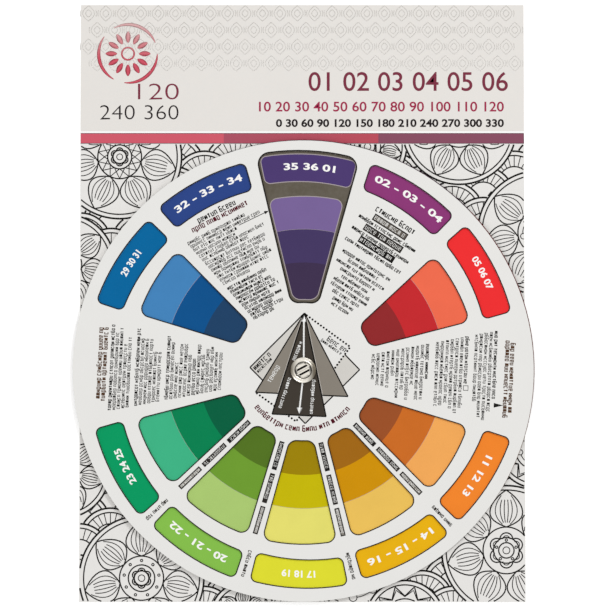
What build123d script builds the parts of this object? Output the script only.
from build123d import *
from math import cos, radians, sin, sqrt, tan
import os

# A colour mixing wheel lying on its display card, printed side up. Two board discs turn
# on a binding screw: the front one has windows, and the one behind it has the colours.
# Lengths are in millimetres and angles in degrees. The origin is on the wheel's axis at
# the card's back face, with +Y towards the card's header and +Z out of the print.

# The display card. Its foot comes just below the wheel, and the wheel lies a little to
# the right of its middle line.
card_width = 193.3
card_height = 259.8
card_thickness = 0.5
card_foot_margin = 0.25
card_aside = 0.4

# The two discs, which are cut to one diameter. The wheel lies turned clockwise on its
# card. The colour disc's hole is punched a little off its centre, so that its rim stands
# out past the front disc on one side, to the upper right.
wheel_diameter = 200
wheel_turn = 1.25
front_disc_thickness = 0.5
colour_disc_thickness = 0.5
colour_disc_shift = 0.45
colour_disc_shift_angle = 50

# Where the windows lie, clockwise from the header. The wheel has twelve sectors: one has
# the long window, which shows a whole column of the colour disc, nine have a label window
# near the rim, and seven of those have a wedge window below it. Two are left for print.
long_window_angle = 0
label_window_angles = (30, 60, 120, 150, 180, 210, 240, 300, 330)
wedge_window_angles = (60, 120, 150, 180, 210, 240, 300)

# Label windows, measured inwards from the front disc's edge. Both arcs of a label window
# are cut a little askew: going clockwise, each one drops towards the axis by its lean.
label_margin = 6.05
label_height = 11.8
label_half_angle = 12.85
label_corner = 2.4
label_outer_lean = 1.2
label_inner_lean = 2.1

# Wedge windows. Their sides run out from an apex on the sector's middle line.
label_to_wedge = 7.1
wedge_foot_radius = 30.8
wedge_apex = 10.6
wedge_half_angle = 14.2
wedge_outer_corner = 3.5
wedge_inner_corner = 3.8

# The long window, whose outer arc leans as the labels' arcs do
long_margin = 4.8
long_foot_radius = 29.7
long_apex = 7.6
long_half_angle = 14.62
long_outer_corner = 4.8
long_inner_corner = 3.8
long_outer_lean = 1.3

# Running clearances
turning_gap = 0.1
bearing_gap = 0.05
thread_gap = 0.05

# The binding post. Its flange lies on the card and carries the discs, and its barrel
# passes through both of them and is tapped for the screw.
post_flange_diameter = 11
post_flange_thickness = 0.9
post_flange_round = 0.3
post_barrel_diameter = 5
post_barrel_lead = 0.15

# The cup washer, a dished ring that keeps the discs on the barrel
washer_diameter = 11.1
washer_thickness = 1.1
washer_floor = 0.3
washer_round = 0.3
washer_lip = 0.35
washer_dish = 0.16

# The binding screw
screw_head_diameter = 6.8
screw_head_height = 1
screw_head_crown = 0.2
screw_head_chamfer = 0.12
screw_shank_diameter = 3
screw_tip_gap = 0.1
screw_tip_chamfer = 0.2
seat_gap = 0.25
slot_width = 1.7
slot_depth = 0.7
slot_angle = 28

# Worked out from the sizes above
overrun = 1
wheel_radius = wheel_diameter / 2
shift_angle = radians(colour_disc_shift_angle)
colour_disc_centre = (
    colour_disc_shift * sin(shift_angle),
    colour_disc_shift * cos(shift_angle),
)
label_outer_radius = wheel_radius - label_margin
label_inner_radius = label_outer_radius - label_height
wedge_outer_radius = label_inner_radius - label_to_wedge
long_outer_radius = wheel_radius - long_margin
disc_hole_radius = post_barrel_diameter / 2 + bearing_gap
tapped_radius = screw_shank_diameter / 2 + thread_gap
seat_radius = screw_head_diameter / 2 + seat_gap

flange_base = card_thickness
colour_disc_base = flange_base + post_flange_thickness + turning_gap
front_disc_base = colour_disc_base + colour_disc_thickness + turning_gap
washer_base = front_disc_base + front_disc_thickness + turning_gap
washer_seat = washer_base + washer_floor
washer_top = washer_base + washer_thickness
head_edge = washer_seat + screw_head_height
head_top = head_edge + screw_head_crown
tapped_floor = flange_base + post_flange_thickness

wheel_plane = Plane.XY.rotated((0, 0, -wheel_turn))
os.makedirs("parts", exist_ok=True)


def side_point(radius, apex, half_angle):
    """The point where a side that leaves the apex on +Y meets a circle round the axis."""
    lean = radians(half_angle)
    reach = sqrt(radius**2 - (apex * sin(lean)) ** 2) - apex * cos(lean)
    return (reach * sin(lean), apex + reach * cos(lean))


def arc_points(radius, apex, half_angle, lean):
    """The left end, middle and right end of a window's arc, which drops to its right."""
    drop = side_point(radius, apex, half_angle)[0] * tan(radians(lean))
    left_x, left_y = side_point(radius + drop, apex, half_angle)
    return (-left_x, left_y), (0, radius), side_point(radius - drop, apex, half_angle)


def window(outer_arc, inner_arc, outer_corner, inner_corner):
    """A window on +Y: two straight sides between two arcs, with round corners."""
    with BuildSketch() as outline:
        with BuildLine():
            ThreePointArc(*outer_arc)
            Line(outer_arc[-1], inner_arc[-1])
            ThreePointArc(*inner_arc)
            Line(inner_arc[0], outer_arc[0])
        make_face()
        fillet(outline.vertices().sort_by(Axis.Y)[2:], outer_corner)
        fillet(outline.vertices().sort_by(Axis.Y)[:2], inner_corner)
    return outline.sketch


label_window = window(
    arc_points(label_outer_radius, 0, label_half_angle, label_outer_lean),
    arc_points(label_inner_radius, 0, label_half_angle, label_inner_lean),
    label_corner,
    label_corner,
)
wedge_window = window(
    arc_points(wedge_outer_radius, wedge_apex, wedge_half_angle, 0),
    arc_points(wedge_foot_radius, wedge_apex, wedge_half_angle, 0),
    wedge_outer_corner,
    wedge_inner_corner,
)
long_window = window(
    arc_points(long_outer_radius, long_apex, long_half_angle, long_outer_lean),
    arc_points(long_foot_radius, long_apex, long_half_angle, 0),
    long_outer_corner,
    long_inner_corner,
)

# The display card, one plain rectangle of board
card_middle_y = card_height / 2 - wheel_radius - card_foot_margin
with BuildPart() as backing_card:
    with BuildSketch():
        with Locations((-card_aside, card_middle_y)):
            Rectangle(card_width, card_height)
    extrude(amount=card_thickness)
backing_card.part.label = "backing_card"
export_step(backing_card.part, "parts/backing_card.step")

# The colour disc, which turns on the barrel just above the flange
with BuildPart() as colour_disc:
    with BuildSketch(wheel_plane.offset(colour_disc_base)):
        with Locations(colour_disc_centre):
            Circle(wheel_radius)
        Circle(disc_hole_radius, mode=Mode.SUBTRACT)
    extrude(amount=colour_disc_thickness)
colour_disc.part.label = "colour_disc"
export_step(colour_disc.part, "parts/colour_disc.step")

# The front disc with its seventeen die-cut windows
with BuildPart() as front_disc:
    with BuildSketch(wheel_plane.offset(front_disc_base)):
        Circle(wheel_radius)
        Circle(disc_hole_radius, mode=Mode.SUBTRACT)
        add(long_window, rotation=-long_window_angle, mode=Mode.SUBTRACT)
        for angle in label_window_angles:
            add(label_window, rotation=-angle, mode=Mode.SUBTRACT)
        for angle in wedge_window_angles:
            add(wedge_window, rotation=-angle, mode=Mode.SUBTRACT)
    extrude(amount=front_disc_thickness)
front_disc.part.label = "front_disc"
export_step(front_disc.part, "parts/front_disc.step")

# The binding post: a flange with a rounded edge, and a barrel tapped from its open end
with BuildPart() as pivot_post:
    with BuildSketch(Plane.XY.offset(flange_base)):
        Circle(post_flange_diameter / 2)
    extrude(amount=post_flange_thickness)
    flange_edges = pivot_post.edges().filter_by(GeomType.CIRCLE)
    fillet(flange_edges.sort_by(Axis.Z)[-1], post_flange_round)
    with BuildSketch(Plane.XY.offset(tapped_floor)):
        Circle(post_barrel_diameter / 2)
    extrude(amount=washer_base - tapped_floor)
    barrel_edges = pivot_post.edges().filter_by(GeomType.CIRCLE).group_by(Axis.Z)[-1]
    chamfer(barrel_edges, post_barrel_lead)
    with BuildSketch(Plane.XY.offset(tapped_floor)):
        Circle(tapped_radius)
    extrude(amount=washer_base - tapped_floor + overrun, mode=Mode.SUBTRACT)
pivot_post.part.label = "pivot_post"
export_step(pivot_post.part, "parts/pivot_post.step")

# The cup washer: a floor with the screw's hole, a well for its head and a dished ring
lip_radius = seat_radius + washer_lip
rim_radius = washer_diameter / 2 - washer_round
dish_radius = (lip_radius + rim_radius) / 2
with BuildPart() as cup_washer:
    with BuildSketch(Plane.XZ):
        with BuildLine():
            Line((tapped_radius, washer_base), (washer_diameter / 2, washer_base))
            Line(
                (washer_diameter / 2, washer_base),
                (washer_diameter / 2, washer_top - washer_round),
            )
            RadiusArc(
                (washer_diameter / 2, washer_top - washer_round),
                (rim_radius, washer_top),
                -washer_round,
            )
            ThreePointArc(
                (rim_radius, washer_top),
                (dish_radius, washer_top - washer_dish),
                (lip_radius, washer_top),
            )
            Line((lip_radius, washer_top), (seat_radius, washer_top - washer_dish))
            Line((seat_radius, washer_top - washer_dish), (seat_radius, washer_seat))
            Line((seat_radius, washer_seat), (tapped_radius, washer_seat))
            Line((tapped_radius, washer_seat), (tapped_radius, washer_base))
        make_face()
    revolve(axis=Axis.Z)
cup_washer.part.label = "cup_washer"
export_step(cup_washer.part, "parts/cup_washer.step")

# The binding screw: a crowned head with a slot, seated in the washer's well, and a shank
# that stops just short of the tapped hole's floor
head_radius = screw_head_diameter / 2
shank_radius = screw_shank_diameter / 2
shank_tip = tapped_floor + screw_tip_gap
with BuildPart() as pivot_screw:
    with BuildSketch(Plane.XZ):
        with BuildLine():
            Line((0, shank_tip), (shank_radius - screw_tip_chamfer, shank_tip))
            Line(
                (shank_radius - screw_tip_chamfer, shank_tip),
                (shank_radius, shank_tip + screw_tip_chamfer),
            )
            Line((shank_radius, shank_tip + screw_tip_chamfer), (shank_radius, washer_seat))
            Line((shank_radius, washer_seat), (head_radius, washer_seat))
            Line((head_radius, washer_seat), (head_radius, head_edge - screw_head_chamfer))
            Line(
                (head_radius, head_edge - screw_head_chamfer),
                (head_radius - screw_head_chamfer, head_edge),
            )
            TangentArc(
                (0, head_top),
                (head_radius - screw_head_chamfer, head_edge),
                tangent=(1, 0),
            )
            Line((0, head_top), (0, shank_tip))
        make_face()
    revolve(axis=Axis.Z)
    with BuildSketch(Plane.XY.offset(head_top - slot_depth)):
        Rectangle(screw_head_diameter + overrun, slot_width, rotation=slot_angle)
    extrude(amount=slot_depth + overrun, mode=Mode.SUBTRACT)
pivot_screw.part.label = "pivot_screw"
export_step(pivot_screw.part, "parts/pivot_screw.step")
